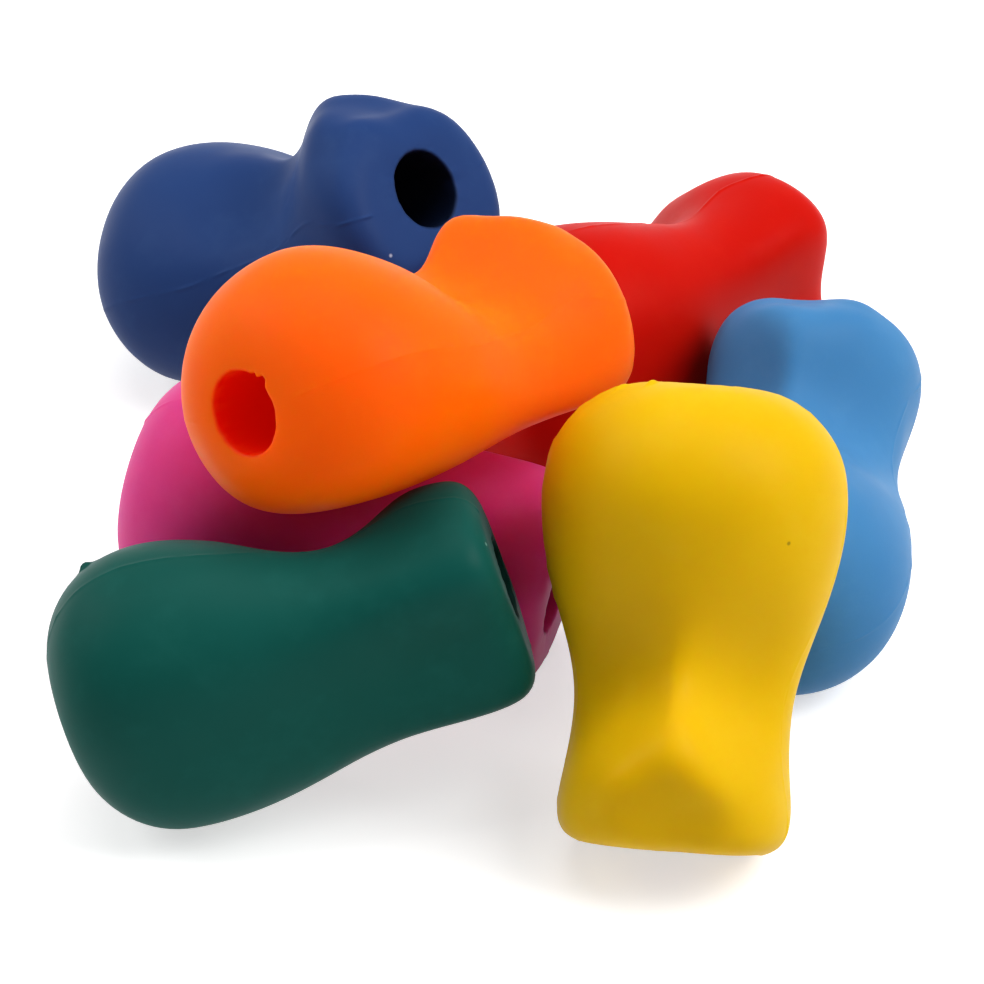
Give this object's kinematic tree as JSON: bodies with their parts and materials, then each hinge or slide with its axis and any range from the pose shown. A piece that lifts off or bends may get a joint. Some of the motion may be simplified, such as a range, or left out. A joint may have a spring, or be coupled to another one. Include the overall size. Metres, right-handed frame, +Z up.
{
  "type": "pencil grip",
  "caption": "Soft moulded pencil grips with an oval bulb, finger recesses either side of a crest and a through bore that holds a pencil, lying in a loose heap.",
  "frame": {"origin": "on the table, under the middle of the heap's outline in plan", "axes": "+X to the viewer's right, +Y away from the viewer, +Z up from the table"},
  "size_m": [0.0746, 0.0934, 0.0466],
  "materials": {
    "red_rubber": "satin moulded red elastomer",
    "magenta_rubber": "satin moulded magenta elastomer",
    "green_rubber": "satin moulded green elastomer",
    "orange_rubber": "satin moulded orange elastomer",
    "light_blue_rubber": "satin moulded light blue elastomer",
    "yellow_rubber": "satin moulded yellow elastomer",
    "navy_rubber": "satin moulded navy elastomer"
  },
  "bodies": {
    "red": {"red_grip": "red_rubber"},
    "magenta": {"magenta_grip": "magenta_rubber"},
    "green": {"green_grip": "green_rubber"},
    "orange": {"orange_grip": "orange_rubber"},
    "light_blue": {"light_blue_grip": "light_blue_rubber"},
    "yellow": {"yellow_grip": "yellow_rubber"},
    "navy": {"navy_grip": "navy_rubber"}
  },
  "joints": [
    {"name": "magenta_slide", "type": "slide", "parent": "red", "child": "magenta", "axis": [-0.866, 0.5, 0], "range_m": [0, 0.06]},
    {"name": "green_slide", "type": "slide", "parent": "red", "child": "green", "axis": [-0.4983, -0.867, 0], "range_m": [0, 0.06]},
    {"name": "orange_slide", "type": "slide", "parent": "red", "child": "orange", "axis": [0, 0, 1], "range_m": [0, 0.06]},
    {"name": "light_blue_slide", "type": "slide", "parent": "red", "child": "light_blue", "axis": [1, 0, 0], "range_m": [0, 0.06]},
    {"name": "yellow_slide", "type": "slide", "parent": "red", "child": "yellow", "axis": [0, -1, 0], "range_m": [0, 0.06]},
    {"name": "navy_slide", "type": "slide", "parent": "red", "child": "navy", "axis": [-0.8, 0.6, 0], "range_m": [0, 0.06]}
  ]
}
